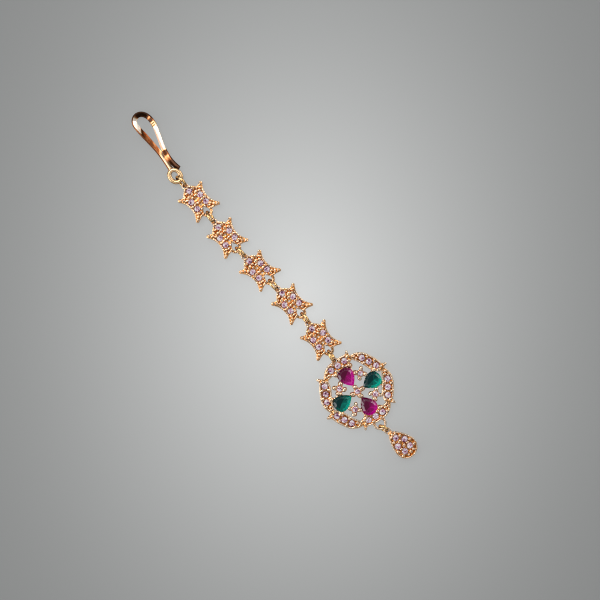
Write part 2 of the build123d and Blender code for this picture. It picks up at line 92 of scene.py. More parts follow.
def turn_outwards(mesh, merge=None):
    """Turns every face outwards, after the points that are nearer than merge are made one."""
    shape = bmesh.new()
    shape.from_mesh(mesh)
    if merge:
        bmesh.ops.remove_doubles(shape, verts=shape.verts, dist=merge)
    bmesh.ops.recalc_face_normals(shape, faces=shape.faces)
    shape.to_mesh(mesh)
    shape.free()


def clean(mesh):
    """Closes the poles of a smooth mesh, where its points share a place."""
    turn_outwards(mesh, 0.0001 * MM)
    mesh.shade_smooth()
    return mesh


def joined(name, *meshes):
    """One mesh from several."""
    shape = bmesh.new()
    for mesh in meshes:
        shape.from_mesh(mesh)
        bpy.data.meshes.remove(mesh)
    mesh = bpy.data.meshes.new(name)
    shape.to_mesh(mesh)
    shape.free()
    return mesh


def show(name, mesh, material, slot, *nodes):
    """Makes the piece from its mesh, on the object's one body, in place of its CAD nodes."""
    piece = bpy.data.objects.new(name, mesh)
    bpy.context.scene.collection.objects.link(piece)
    mesh.materials.clear()
    mesh.materials.append(material)
    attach(piece, "root")
    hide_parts(*nodes)


def read(items, what, size=3, kind=np.float32):
    """What a mesh holds for its points, edges or faces, as an array with a row for each."""
    values = np.empty(len(items) * size, kind)
    items.foreach_get(what, values)
    return values.reshape(-1, size)


def store(mesh, name, values, domain="POINT"):
    """Gives a mesh an attribute that its material reads: one value for each point or face."""
    mesh.attributes.new(name, "FLOAT", domain).data.foreach_set("value", values)


def swept(path, side, up, profile):
    """Carries a closed profile along a path: each point of the path plus the profile's first
    coordinate times its side direction and the second times its up direction."""
    return (
        path[:, None, :]
        + profile[..., 0:1] * side[:, None, :]
        + profile[..., 1:2] * up[:, None, :]
    )


FOOT_FADE = 0.4  # the share of a foot's height, at its top, over which the painted wall shade fades in


def paint_shade_and_highlights(mesh, rounds, depth, steep, foot=0.0):
    """Stores how open to the light each point lies, as masks for painted highlights and
    painted shade. The surface is blurred by averaging each point with its neighbours, in so
    many rounds: what stands above the blurred surface by depth or more is 1, what lies below
    it by depth or more is 0. Walls get painted shade too, where the upright share of the
    point's direction is less than steep, but not below the foot."""
    count = len(mesh.vertices)
    places = read(mesh.vertices, "co").astype(float)
    normals = read(mesh.vertex_normals, "vector")
    edges = read(mesh.edges, "vertices", 2, np.int32)
    first, second = edges.T
    neighbours = np.bincount(edges.ravel(), minlength=count)
    blurred = places
    for _ in range(rounds):
        total = np.stack(
            [
                np.bincount(first, blurred[second, axis], count)
                + np.bincount(second, blurred[first, axis], count)
                for axis in range(3)
            ],
            -1,
        )
        blurred = (blurred + total) / (1 + neighbours[:, None])
    above = ((places - blurred) * normals).sum(1)
    share = np.clip(0.5 + above / depth / 2, 0, 1)
    wall = np.clip(np.abs(normals[:, 2]) / steep, 0, 1)
    if foot:
        wall = np.maximum(wall, np.clip((foot - places[:, 2]) / foot / FOOT_FADE, 0, 1))
    store(mesh, "open", share)
    store(mesh, "upward", wall)


# the plate's colours: a pale painted highlight for its tops, its own body colour, and painted
# shade, deep in hollows and dark on walls
GOLD_PAINTED_HIGHLIGHT = (1.0, 0.75, 0.52, 1)
GOLD_BODY = (1.0, 0.46, 0.15, 1)
GOLD_PAINTED_DEEP_SHADE = (0.62, 0.16, 0.012, 1)
GOLD_PAINTED_WALL_SHADE = (0.15, 0.03, 0.003, 1)
BODY_BETWEEN = (0.15, 0.5)  # how open the plate lies where it turns from painted deep shade to body
PAINTED_HIGHLIGHT_BETWEEN = (0.55, 0.95)  # and from body to the pale painted highlight
CLOUDS = 900  # to the metre, in the plate's tone
CLOUD_DRIFT = 0.3  # how much the clouds shift the tone, from the darkest to the lightest
CLOUD_HAZE = 0.1  # and how much roughness they add at most
WAVES = 2200  # to the metre, in the plate's surface


def gold_plate_group():
    """Node group: colour, roughness and surface of gold plate from how open it lies to the
    light. Shade and highlights are painted into its colour: in hollows and on walls, where
    plate mirrors plate, it is painted brown as shade; on the tops it is painted pale as a
    highlight."""
    group = bpy.data.node_groups.new("gold plate", "ShaderNodeTree")
    face = group.interface
    for name, kind, value in (
        ("Shade", "NodeSocketColor", GOLD_PAINTED_WALL_SHADE),
        ("Deep", "NodeSocketColor", GOLD_PAINTED_DEEP_SHADE),
        ("Body", "NodeSocketColor", GOLD_BODY),
        ("Pale", "NodeSocketColor", GOLD_PAINTED_HIGHLIGHT),
        ("Open", "NodeSocketFloat", 0.5),
        ("Upward", "NodeSocketFloat", 1.0),
        ("Roughness", "NodeSocketFloat", 0.2),
        ("Unevenness", "NodeSocketFloat", 0.0),
    ):
        socket = face.new_socket(name, in_out="INPUT", socket_type=kind)
        socket.default_value = value
    face.new_socket("Color", in_out="OUTPUT", socket_type="NodeSocketColor")
    face.new_socket("Roughness", in_out="OUTPUT", socket_type="NodeSocketFloat")
    face.new_socket("Normal", in_out="OUTPUT", socket_type="NodeSocketVector")
    nodes, links = group.nodes, group.links
    inputs = nodes.new("NodeGroupInput")
    outputs = nodes.new("NodeGroupOutput")
    # the plate's tone drifts a little from place to place
    place = nodes.new("ShaderNodeTexCoord")
    cloud = nodes.new("ShaderNodeTexNoise")
    cloud.inputs["Scale"].default_value = CLOUDS
    links.new(place.outputs["Object"], cloud.inputs["Vector"])
    drift = nodes.new("ShaderNodeMath")
    drift.operation = "MULTIPLY_ADD"
    links.new(cloud.outputs["Fac"], drift.inputs[0])
    drift.inputs[1].default_value = CLOUD_DRIFT
    drift.inputs[2].default_value = -CLOUD_DRIFT / 2
    level = nodes.new("ShaderNodeMath")
    level.operation = "ADD"
    level.use_clamp = True
    links.new(inputs.outputs["Open"], level.inputs[0])
    links.new(drift.outputs[0], level.inputs[1])
    # painted shade in the hollows turns to the body colour and then to a painted highlight on the
    # tops
    tone = inputs.outputs["Deep"]
    for colour, (low, high) in (("Body", BODY_BETWEEN), ("Pale", PAINTED_HIGHLIGHT_BETWEEN)):
        share = nodes.new("ShaderNodeMapRange")
        links.new(level.outputs[0], share.inputs["Value"])
        share.inputs["From Min"].default_value = low
        share.inputs["From Max"].default_value = high
        mix = nodes.new("ShaderNodeMix")
        mix.data_type = "RGBA"
        links.new(share.outputs["Result"], mix.inputs["Factor"])
        links.new(tone, mix.inputs["A"])
        links.new(inputs.outputs[colour], mix.inputs["B"])
        tone = mix.outputs["Result"]
    # painted shade on the walls
    shaded = nodes.new("ShaderNodeMix")
    shaded.data_type = "RGBA"
    links.new(inputs.outputs["Upward"], shaded.inputs["Factor"])
    links.new(inputs.outputs["Shade"], shaded.inputs["A"])
    links.new(tone, shaded.inputs["B"])
    links.new(shaded.outputs["Result"], outputs.inputs["Color"])
    rough = nodes.new("ShaderNodeMath")
    rough.operation = "MULTIPLY_ADD"
    links.new(cloud.outputs["Fac"], rough.inputs[0])
    rough.inputs[1].default_value = CLOUD_HAZE
    links.new(inputs.outputs["Roughness"], rough.inputs[2])
    links.new(rough.outputs[0], outputs.inputs["Roughness"])
    # what casting and polishing leave is never quite flat
    waves = nodes.new("ShaderNodeTexNoise")
    waves.inputs["Scale"].default_value = WAVES
    links.new(place.outputs["Object"], waves.inputs["Vector"])
    bump = nodes.new("ShaderNodeBump")
    links.new(inputs.outputs["Unevenness"], bump.inputs["Distance"])
    links.new(waves.outputs["Fac"], bump.inputs["Height"])
    links.new(bump.outputs["Normal"], outputs.inputs["Normal"])
    return group


gold_plate = gold_plate_group()


def gold(name, roughness, unevenness=0.0, **colours):
    """Gold plate over brass, for a mesh that stores how open it lies, from which its
    highlights and shade are painted into its colour. Unevenness is the height of the waves
    in its surface, in millimetres. Its colours may be its own."""
    material = bpy.data.materials.new(name)
    material.use_nodes = True
    nodes, links = material.node_tree.nodes, material.node_tree.links
    shader = nodes["Principled BSDF"]
    shader.inputs["Metallic"].default_value = 1
    plate = nodes.new("ShaderNodeGroup")
    plate.name = "plate"
    plate.node_tree = gold_plate
    plate.inputs["Roughness"].default_value = roughness
    plate.inputs["Unevenness"].default_value = unevenness * MM
    for socket, colour in colours.items():
        plate.inputs[socket].default_value = colour
    for attribute, socket in (("open", "Open"), ("upward", "Upward")):
        stored = nodes.new("ShaderNodeAttribute")
        stored.attribute_name = attribute
        links.new(stored.outputs["Fac"], plate.inputs[socket])
    links.new(plate.outputs["Color"], shader.inputs["Base Color"])
    links.new(plate.outputs["Roughness"], shader.inputs["Roughness"])
    links.new(plate.outputs["Normal"], shader.inputs["Normal"])
    return material


def round_turn(points):
    """Angles all the way round, evenly spaced, without the last one that is the first."""
    return np.linspace(0, 2 * np.pi, points, endpoint=False)


def hook_course(eye):
    """The middle line of the strip: small steps added up along its course. Returns how far
    along each point is in millimetres, the points, and the strip's two cross directions
    there, through its thickness and across its width, which lean out by the splay."""
    along, heading = np.array(HOOK_COURSE).T
    length = np.linspace(0, along[-1], HOOK_STEPS)
    heading = np.interp(length, along, heading)
    soft = np.hanning(2 * HOOK_SOFTNESS + 1)
    padded = np.pad(heading, HOOK_SOFTNESS, mode="edge")
    heading = np.radians(np.convolve(padded, soft / soft.sum(), mode="valid"))
    step = length[1] * MM
    path = np.stack([np.cos(heading), np.sin(heading), 0 * heading], -1)
    path = eye + HOOK_START + np.cumsum(path, axis=0) * step
    reach = (path[:, 1] - eye[1]) / (path[:, 1].max() - eye[1])
    path[:, 2] = eye[2] + (HOOK_END_HEIGHT - eye[2]) * reach
    splay = np.radians(HOOK_SPLAY)
    outward = np.stack([-np.sin(heading), np.cos(heading), 0 * heading], -1)
    upward = np.array([0, 0, 1.0])
    through = outward * np.cos(splay) - upward * np.sin(splay)
    across = outward * np.sin(splay) + upward * np.cos(splay)
    return length, path, through, across


def hook_strip(length, path, through, across):
    """The strip: a rounded oblong, |x/a|^5 + |y/b|^5 = 1, carried along its course. Both of
    its ends are rounded: the oblong shrinks there by a quarter circle."""
    width = np.interp(length, *np.array(HOOK_WIDTHS).T) * MM
    end = np.minimum(length, length[-1] - length) / HOOK_ENDS
    rounding = np.sqrt(1 - (1 - np.clip(end, 0, 1)) ** 2)
    angle = round_turn(48)
    x, y = np.cos(angle), np.sin(angle)
    oblong = np.stack([np.sign(x) * np.abs(x) ** (2 / 5), np.sign(y) * np.abs(y) ** (2 / 5)], -1)
    size = np.stack([0 * width + HOOK_THICKNESS, width], -1) / 2
    profile = oblong[None] * (size * rounding[:, None])[:, None, :]
    return sheet_mesh("hook strip", swept(path, through, across, profile))


def hook_eye(eye):
    """The eye: a round wire carried round an ellipse, a little flat on its top and back."""
    turn = round_turn(128)
    wide, long = EYE_RADII
    level = 0 * turn
    path = eye + np.stack([wide * np.cos(turn), long * np.sin(turn), level], -1)
    out = np.stack([long * np.cos(turn), wide * np.sin(turn), level], -1)
    out /= np.linalg.norm(out, axis=1, keepdims=True)
    angle = round_turn(40)
    x, y = np.cos(angle), np.sin(angle)
    profile = np.stack([x, y * (1 - EYE_FLAT * np.abs(y))], -1)[None] * EYE_WIRE
    upward = np.zeros_like(out) + [0, 0, 1]
    return sheet_mesh("hook eye", swept(path, out, upward, profile), close_rows=True)


# how far along the strip, and how pale its inner face and its upper edge are painted there,
# as painted reflections and painted shade, and how much painted glow stands for the light
# that the arms throw on each other
INNER_PAINTED_TONES = (
    (0, 0.6), (4.5, 0.8), (5.5, 0.5), (6.5, 0.1), (8, 0.2), (9, 0.05), (11, 0.18), (13.1, 0),
    (13.6, 1.2), (17.2, 1.2), (17.7, 0.3), (18.2, 0), (21.5, 0), (21.9, 0.35), (22.3, 0),
    (23.1, 0), (23.4, 0.7), (23.7, 0), (24.0, 0.7), (24.3, 0.1), (24.8, 1.2), (31, 1.2),
    (31.6, 0), (32.7, 0), (33.2, 0.35), (34, 0.2), (34.8, 0), (37.9, 0),
)  # fmt: skip
EDGE_PAINTED_TONES = (
    (0, 0.3), (3, 0.15), (6, 0.05), (13, 0.05), (14, 0.15), (16, 0.15), (17.5, 0), (22.5, 0),
    (24.5, 0.6), (25.5, 1.2), (31, 1), (31.8, 0), (33.2, 0.2), (34.2, 0), (37.9, 0),
)  # fmt: skip
INNER_PAINTED_GLOW = (
    (4.5, 0), (5.5, 0.4), (6.5, 0.55), (8, 0.4), (9, 0.6), (11, 0.35), (13.1, 0.05),
    (13.6, 0.5), (15.5, 0.5), (17.2, 0.35), (17.7, 0), (21.5, 0), (21.9, 0.3), (22.3, 0),
    (24.5, 0), (25, 0.3), (31, 0.3), (31.6, 0), (32.7, 0), (33.2, 0.6), (34, 0.45),
    (34.8, 0), (37.9, 0),
)  # fmt: skip
PAINTED_REFLECTION_SLANT = ((14.5, 1.2), (16.5, 0))  # how far along it a painted reflected edge shifts for each across
EDGE_FROM = 0.6 * MM  # from the strip's middle, across its width
PAINTED_SHADE_BELOW = 0.15  # the tone under which painted shade turns the strip brown


def hook_painted_tones(mesh, length, path, across):
    """Painted tones of the bent strip. What each arm would mirror of the other one or the room
    is painted into it as painted reflections and painted shade, so that its faces are pale,
    orange or brown by turns along its length, and a painted glow, given off as emission,
    stands for the light thrown to and fro between the arms where they are close."""
    places = read(mesh.vertices, "co")
    apart = np.linalg.norm(places[:, None] - path[None].astype(np.float32), axis=2)
    nearest = apart.argmin(1)
    along = length[nearest]
    aside = ((places - path[nearest]) * across[nearest]).sum(1)
    outer = aside > EDGE_FROM
    # the painted reflection of what the first arm mirrors lies aslant on it
    along = along + aside / MM * np.interp(along, *np.array(PAINTED_REFLECTION_SLANT).T)
    tone = np.where(outer, np.interp(along, *np.array(EDGE_PAINTED_TONES).T), 0)
    tone = np.where(outer, tone, np.interp(along, *np.array(INNER_PAINTED_TONES).T))
    painted_bounce_glow = np.where(outer, 0, np.interp(along, *np.array(INNER_PAINTED_GLOW).T))
    store(mesh, "open", tone)
    store(mesh, "upward", np.clip(tone / PAINTED_SHADE_BELOW, 0, 1))
    store(mesh, "painted_bounce_glow", painted_bounce_glow)


# the hook's colours, from which its painted reflections and painted shade are picked
polished_gold = gold(
    "polished gold",
    roughness=0.12,
    Pale=(0.95, 0.83, 0.69, 1),
    Body=(1.0, 0.65, 0.33, 1),
    Deep=(0.36, 0.105, 0.03, 1),
    Shade=(0.07, 0.028, 0.012, 1),
)
# painted glow: where the arms would throw light on each other, the plate's colour is given off as
# emission, though the hook is no lamp
nodes, links = polished_gold.node_tree.nodes, polished_gold.node_tree.links
shader = nodes["Principled BSDF"]
painted_bounce_glow = nodes.new("ShaderNodeAttribute")
painted_bounce_glow.attribute_name = "painted_bounce_glow"
glow = nodes.new("ShaderNodeMix")
glow.data_type = "RGBA"
glow.inputs["A"].default_value = (0, 0, 0, 1)
links.new(nodes["plate"].outputs["Color"], glow.inputs["B"])
links.new(painted_bounce_glow.outputs["Fac"], glow.inputs["Factor"])
links.new(glow.outputs["Result"], shader.inputs["Emission Color"])
shader.inputs["Emission Strength"].default_value = 1
shader.inputs["Metallic"].default_value = 0.85

# the eye fills the lower left corner of the hook's box
hook_low = np.array(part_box("hook")[0])
EYE_MIDDLE = np.array([*(hook_low[:2] + EYE_RADII + EYE_WIRE), EYE_HEIGHT])
length, path, through, across = hook_course(EYE_MIDDLE)
strip = clean(hook_strip(length, path, through, across))
hook_painted_tones(strip, length, path, across)
eye = clean(hook_eye(EYE_MIDDLE))
paint_shade_and_highlights(eye, WIRE_BLUR, WIRE_DEPTH, EYE_STEEP)
store(eye, "painted_bounce_glow", np.zeros(len(eye.vertices)))
hook = joined("hair hook", strip, eye)
hook.shade_smooth()
show("hair_hook", hook, polished_gold, "gold_plated_brass", "hook")


# === Jump rings ==========================================================================
# Each jump ring is a short length of round brass wire bent to a circle, closed end to end
# and plated. It stands nearly upright between two links, through the eye of each.
CUT_WIDTH = 6  # degrees of the ring over which its closed ends round in
CUT_PINCH = 0.16  # the share of the wire's radius that is gone at the cut
CUT_ASIDE = 0.5  # radians from the ring's lowest point to the cut
RING_STEEP = 0.8  # as for the eye: the slope at which painted shade darkens the wire


def corners(node):
    """The places of a CAD node's points, as an array."""
    return read(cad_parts[node].data.vertices, "co").astype(float)


def ring_mesh(node):
    """A torus as its node stands: the wire's circle is carried round in the plane that the
    node's points spread least across. The wire thins a little where its two ends meet."""
    places = corners(node)
    low, high = places.min(0), places.max(0)
    middle = (low + high) / 2
    axis, first, second = np.linalg.eigh(np.cov((places - middle).T))[1].T
    wire = np.abs((places - middle) @ axis).max()
    radius = np.linalg.norm(places - middle, axis=1).max() - wire
    turn = round_turn(120)
    out = np.cos(turn)[:, None] * first + np.sin(turn)[:, None] * second
    cut = turn[out[:, 2].argmin()] + CUT_ASIDE
    away = np.abs((turn - cut + np.pi) % (2 * np.pi) - np.pi)
    pinch = 1 - CUT_PINCH * np.exp(-((away / np.radians(CUT_WIDTH)) ** 2))
    angle = round_turn(28)
    circle = np.stack([np.cos(angle), np.sin(angle)], -1)
    profile = wire * pinch[:, None, None] * circle[None]
    path = middle + radius * out
    along = np.zeros_like(out) + axis
    ring = np.clip(swept(path, out, along, profile), *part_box(node))
    return sheet_mesh(node, ring, close_rows=True)


# the rings' colours: painted highlight, body, and painted shade for hollows and walls
wire_gold = gold(
    "wire gold",
    roughness=0.08,
    Pale=(1.0, 0.84, 0.58, 1),
    Body=(1.0, 0.60, 0.24, 1),
    Deep=(0.62, 0.26, 0.06, 1),
    Shade=(0.12, 0.04, 0.01, 1),
)
for number in range(1, 8):
    node = f"jump_ring_{number}"
    ring = clean(ring_mesh(node))
    paint_shade_and_highlights(ring, WIRE_BLUR, WIRE_DEPTH, RING_STEEP)
    show(f"wire_ring_{number}", ring, wire_gold, "gold_plated_brass", node)


# === Star links ==========================================================================
# The five links are brass castings in the shape of a star with a square top corner. Each is
# polished, plated, and set with five small round stones, which beads of its own metal hold.
LINK_CELL = 0.065 * MM
LINK_POLISH = 4  # rounds of smoothing
LINK_KEPT = 0.6  # the share of its faces that is kept
CAST_BLUR = 40  # rounds of blurring that bring out its beads and hollows, for its painted highlights and shade
CAST_DEPTH = 0.12 * MM
# the slope under which painted shade darkens a casting's walls
CAST_STEEP = 0.5
WALL_FOOT = 1.0 * MM  # the height up to which outer walls see the lit table and are spared the painted wall shade
PLATE_SWELL = 0.045 * MM  # what the plating and polishing add to the raw casting
BEAD_GROWTH = (1.2, 1.6)  # of the beads, as they are pressed down over the stones beside them
BEAD_LARGEST = 0.5 * MM  # radius of the largest bead, before it is pressed
BEAD_DRAWN = 1.4  # how much longer than wide the tool leaves a bead at most
BEAD_SEED = 5
CAP_REACH = 0.6 * MM  # from a bead's top, where its round cap is measured
CAP_FALL = 0.004 * MM  # the least fall that tells its radius
SAME_HEIGHT = 0.001 * MM  # points that differ by less are all tops, or all bottoms
SAME_POINT = 0.002 * MM  # points of a casting that are nearer are made one
SMALL_RADIUS = 0.84 * MM
GIRDLE_HEIGHT = 1.62 * MM
STONE_LEAN = 0.07  # the steepest slope at which a stone is set
SPOTS_AT = (0.2, 0.6)  # of a stone's painted dark reflection and painted glint from its middle, over its radius
SPOT_REACH = 0.4
SPOT_STRENGTH = (0.5, 1)
PAINTED_GLINT = 0.8  # how much lighter the painted glint is
PAINTED_DARK_REFLECTION = 0.4  # how much darker the painted dark reflection is
TONE_SPREAD = (-0.2, 1.4)  # past 0 and 1, so that many facets get the darkest or lightest painted reflection


def bead_tops(node):
    """The beads of a casting: their tops are its highest points. A round cap that falls by h
    at the distance d from its top has the radius (d^2 + h^2) / 2h."""
    places = corners(node)
    tops = places[places[:, 2] > places[:, 2].max() - SAME_HEIGHT]
    tops = np.unique(np.round(tops, 6), axis=0)
    fall = tops[:, None, 2] - places[None, :, 2]
    apart = np.linalg.norm(tops[:, None, :2] - places[None, :, :2], axis=2)
    on_cap = (fall > CAP_FALL) & (apart < CAP_REACH)
    nearest = np.where(on_cap, apart, np.inf).argmin(1)
    each = np.arange(len(tops))
    d, h = apart[each, nearest], fall[each, nearest]
    return tops, np.minimum((d**2 + h**2) / (2 * h), BEAD_LARGEST)


def finished(worked):
    """A new mesh of what an object's modifiers make of it."""
    graph = bpy.context.evaluated_depsgraph_get()
    return bpy.data.meshes.new_from_object(worked.evaluated_get(graph))


def cast(node, cell, polish, kept):
    """The metal of a casting: the node's solid with its beads pressed broader, worked over in
    cells as a mould's wax is, so that every edge, bead and corner runs softly into the next."""
    shape = bmesh.new()
    shape.from_mesh(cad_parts[node].data)
    bmesh.ops.remove_doubles(shape, verts=shape.verts, dist=SAME_POINT)
    rng = np.random.default_rng(BEAD_SEED)
    for top, radius in zip(*bead_tops(node)):
        radius *= rng.uniform(*BEAD_GROWTH)
        drawn = rng.uniform(1, BEAD_DRAWN)
        middle = Vector(top) - Vector((0, 0, radius))
        turned = Euler((0, 0, rng.uniform(0, np.pi)))
        place = Matrix.LocRotScale(middle, turned, (radius * drawn, radius / drawn**0.5, radius))
        bmesh.ops.create_icosphere(shape, subdivisions=3, radius=1, matrix=place)
    mesh = bpy.data.meshes.new(node)
    shape.to_mesh(mesh)
    shape.free()
    worked = bpy.data.objects.new(node, mesh)
    bpy.context.scene.collection.objects.link(worked)
    remesh = worked.modifiers.new("cells", "REMESH")
    remesh.mode = "VOXEL"
    remesh.voxel_size = cell
    smooth = worked.modifiers.new("polish", "SMOOTH")
    smooth.factor = 0.5
    smooth.iterations = polish
    mesh = finished(worked)
    # masks for the casting's painted highlights and painted shade
    paint_shade_and_highlights(mesh, CAST_BLUR, CAST_DEPTH, CAST_STEEP, WALL_FOOT)
    worked.modifiers.clear()
    worked.data = mesh
    fewer = worked.modifiers.new("fewer", "DECIMATE")
    fewer.ratio = kept
    mesh = finished(worked)
    bpy.data.objects.remove(worked)
    mesh.shade_smooth()
    # the plate grows outwards, but no further than the node's box
    places = read(mesh.vertices, "co") + read(mesh.vertex_normals, "vector") * PLATE_SWELL
    mesh.vertices.foreach_set("co", np.clip(places, *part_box(node)).ravel())
    mesh.update()
    return mesh


def stone_middles(node):
    """Where the stones of a node are: under each one, the point of its pavilion is lowest."""
    places = corners(node)
    points = places[places[:, 2] < places[:, 2].min() + SAME_HEIGHT]
    return np.unique(np.round(points[:, :2], 7), axis=0)


def brilliant():
    """A round brilliant of radius 1 about its girdle. Its points lie on rings at set radii
    and heights, and its facets join them. The flat table is cut up by the facets below
    it that show through. Returns the points, the facets, and how dark and how light each
    facet's painted reflection may be."""
    turn = np.radians(np.arange(16) * 22.5)
    ring = np.stack([np.cos(turn), np.sin(turn), 0 * turn], -1)
    even, odd = ring[::2], ring[1::2]
    up = np.array([0, 0, 1])
    rings = [
        up[None] * 0.36,  # middle of the table, at 0
        odd * 0.27 + up * 0.36,  # 1 to 8
        even * 0.57 + up * 0.36,  # 9 to 16, the table's corners
        odd * 0.80 + up * 0.25,  # 17 to 24
        ring + up * 0.05,  # 25 to 40, the top of the girdle
        ring,  # 41 to 56
        odd * 0.45 - up * 0.42,  # 57 to 64
        up[None] * -0.80,  # the point, at 65
    ]
    # k counts the stone's eight like sides
    k = np.arange(8)
    after = (k + 1) % 8
    core, table, crown, top, low, lower, point = 1, 9, 17, 25, 41, 57, 65
    kinds = [  # facets as three points, and the darkest and lightest painted reflection of their kind
        ((0 * k, core + k, core + after), 0.3, 1.0),
        ((core + k, table + after, core + after), 0.2, 1.0),
        ((core + k, table + k, table + after), 0.2, 1.0),
        ((table + k, crown + k, table + after), 0.1, 0.8),
        ((table + after, crown + k, top + 2 * after), 0.1, 0.75),
        ((table + after, top + 2 * after, crown + after), 0.1, 0.75),
        ((crown + k, top + 2 * k, top + 2 * k + 1), 0.1, 0.6),
        ((crown + k, top + 2 * k + 1, top + 2 * after), 0.1, 0.6),
        ((top + 2 * k, low + 2 * k, low + 2 * k + 1), 0.4, 0.6),
        ((top + 2 * k, low + 2 * k + 1, top + 2 * k + 1), 0.4, 0.6),
        ((top + 2 * k + 1, low + 2 * k + 1, low + 2 * after), 0.4, 0.6),
        ((top + 2 * k + 1, low + 2 * after, top + 2 * after), 0.4, 0.6),
        ((low + 2 * k, lower + k, low + 2 * k + 1), 0.2, 0.7),
        ((low + 2 * k + 1, lower + k, low + 2 * after), 0.2, 0.7),
        ((low + 2 * after, lower + k, lower + after), 0.2, 0.7),
        ((lower + k, point + 0 * k, lower + after), 0.2, 0.7),
    ]
    facets = np.concatenate([np.stack(three, -1) for three, dark, light in kinds])
    darkest = np.repeat([dark for three, dark, light in kinds], 8)
    lightest = np.repeat([light for three, dark, light in kinds], 8)
    return np.concatenate(rings), facets, darkest, lightest


def stones_mesh(name, middles, radius, seed):
    """Brilliants at their places, each turned and leaning a little its own way. Every facet
    has its own tone of painted reflection, between the darkest and the lightest of its kind.
    Each stone has a painted dark reflection round one spot and a painted glint round
    another, by e^-(d/reach)^2 at the distance d."""
    points, facets, darkest, lightest = brilliant()
    rng = np.random.default_rng(seed)
    count = len(middles)
    turn = rng.uniform(0, np.pi / 4, count)
    cos, sin = np.cos(turn)[:, None], np.sin(turn)[:, None]
    x = points[:, 0] * cos - points[:, 1] * sin
    y = points[:, 0] * sin + points[:, 1] * cos
    lean = rng.uniform(-STONE_LEAN, STONE_LEAN, (2, count, 1))
    z = points[:, 2] + lean[0] * x + lean[1] * y
    places = np.stack([x, y, z], -1) * radius
    places[..., :2] += middles[:, None, :]
    places[..., 2] += GIRDLE_HEIGHT
    faces = facets[None] + (np.arange(count) * len(points))[:, None, None]
    mesh = bpy.data.meshes.new(name)
    mesh.from_pydata(places.reshape(-1, 3).tolist(), [], faces.reshape(-1, 3).tolist())
    centres = points[facets].mean(1)[:, :2]
    way = rng.uniform(0, 2 * np.pi, (2, count, 1))
    spots = np.concatenate([np.cos(way), np.sin(way)], 2) * np.array(SPOTS_AT)[:, None, None]
    away = np.linalg.norm(centres[None, None] - spots[:, :, None], axis=3)
    dark, flash = np.exp(-((away / SPOT_REACH) ** 2)) * rng.uniform(*SPOT_STRENGTH, (2, count, 1))
    share = np.clip(rng.uniform(*TONE_SPREAD, (count, len(facets))), 0, 1)
    tone = darkest + (lightest - darkest) * share * (1 - dark)
    tone += PAINTED_GLINT * flash - PAINTED_DARK_REFLECTION * dark
    store(mesh, "tone", tone.ravel(), "FACE")
    turn_outwards(mesh)
    return mesh


def stone_material(name, tones, transmission, ior):
    """Cut stone: each facet's tone picks its colour, from painted dark reflections to painted
    glints.
    """
    material = bpy.data.materials.new(name)
    material.use_nodes = True
    nodes, links = material.node_tree.nodes, material.node_tree.links
    shader = nodes["Principled BSDF"]
    shader.inputs["Roughness"].default_value = 0.05
    shader.inputs["IOR"].default_value = ior
    shader.inputs["Transmission Weight"].default_value = transmission
    tone = nodes.new("ShaderNodeAttribute")
    tone.attribute_name = "tone"
    ramp = nodes.new("ShaderNodeValToRGB")
    stops = ramp.color_ramp.elements
    stops[0].position, stops[0].color = tones[0]
    stops[1].position, stops[1].color = tones[-1]
    for position, colour in tones[1:-1]:
        stops.new(position).color = colour
    links.new(tone.outputs["Fac"], ramp.inputs[0])
    links.new(ramp.outputs["Color"], shader.inputs["Base Color"])
    return material


cast_gold = gold("cast gold", roughness=0.1, unevenness=0.11)
# from a painted dark reflection through the stone's own pink to a painted white glint
pink_stone = stone_material(
    "pink stone",
    [
        (0.08, (0.10, 0.015, 0.06, 1)),
        (0.28, (0.55, 0.20, 0.36, 1)),
        (0.52, (1.0, 0.64, 0.80, 1)),
        (0.72, (1.0, 0.98, 1.0, 1)),
    ],
    transmission=0.15,
    ior=2.1,
)
for number in range(1, 6):
    name = f"star_{number}"
    middles = stone_middles(name + "_stones")
    link = cast(name, LINK_CELL, LINK_POLISH, LINK_KEPT)
    show(f"star_link_{number}", link, cast_gold, "gold_plated_brass", name)
    stones = stones_mesh(name + " stones", middles, SMALL_RADIUS, number)
    show(f"link_stones_{number}", stones, pink_stone, "pink_stone", name + "_stones")


# === Pendant =============================================================================
# The round pendant is six cast leaves in a ring. Inside it four pear-cut stones stand point
# to point in an open gallery, with a small round stone at the middle and between them.
PENDANT_CELL = 0.08 * MM
PENDANT_POLISH = 3
PENDANT_KEPT = 0.48
PENDANT_TURN = -2.7  # degrees that the pendant lies turned in the chain
CENTRE_RADIUS = 0.78 * MM
LEAF_SEEDS = 10  # the seed of a leaf's stones is this and the leaf's number
INNER_SEED = 20
PEAR_LENGTH = 5.4 * MM
PEAR_WIDTH = 4.38 * MM
PEAR_SIDES = 18
PEAR_MERGE = 0.001 * MM  # closes the table and the lowest point
PEAR_DRAWN = 0.8  # how much the teardrop is drawn out to its point
PEAR_FULLEST = 0.80  # half the width of that teardrop before it is scaled
PEAR_HEART = 0.22  # in half lengths past its middle: near its widest place
PEAR_LEVELS = np.array(
    [  # height in millimetres, scale, half facets turned
        (0.75, 0.02, 0),
        (1.15, 0.55, 0),
        (1.68, 1.0, 1),
        (1.76, 1.0, 1),
        (2.10, 0.83, 0),
        (2.40, 0.62, 1),
        (2.40, 0.0, 1),
    ]
)
TABLE_ABOVE = 2.39 * MM  # the height over which a facet is part of the flat table
# how much darker the table facets are painted, as a painted dark reflection
PAINTED_TABLE_DARKER = 0.25
FACET_PLAY = 0.22  # how much the facets differ at most
FACET_SEED = 7
PAINTED_GLOW_WAY = np.array([0.35, -0.94])  # the way the painted glow grows, away from the biggest soft box
SILK = 600  # to the metre: the clouds inside a coloured stone
SILK_SHIFT = 0.5  # how much they shift its painted glow at most
GLOW_FROM, GLOW_TO = -0.5, 1.15  # the whole range of that painted glow

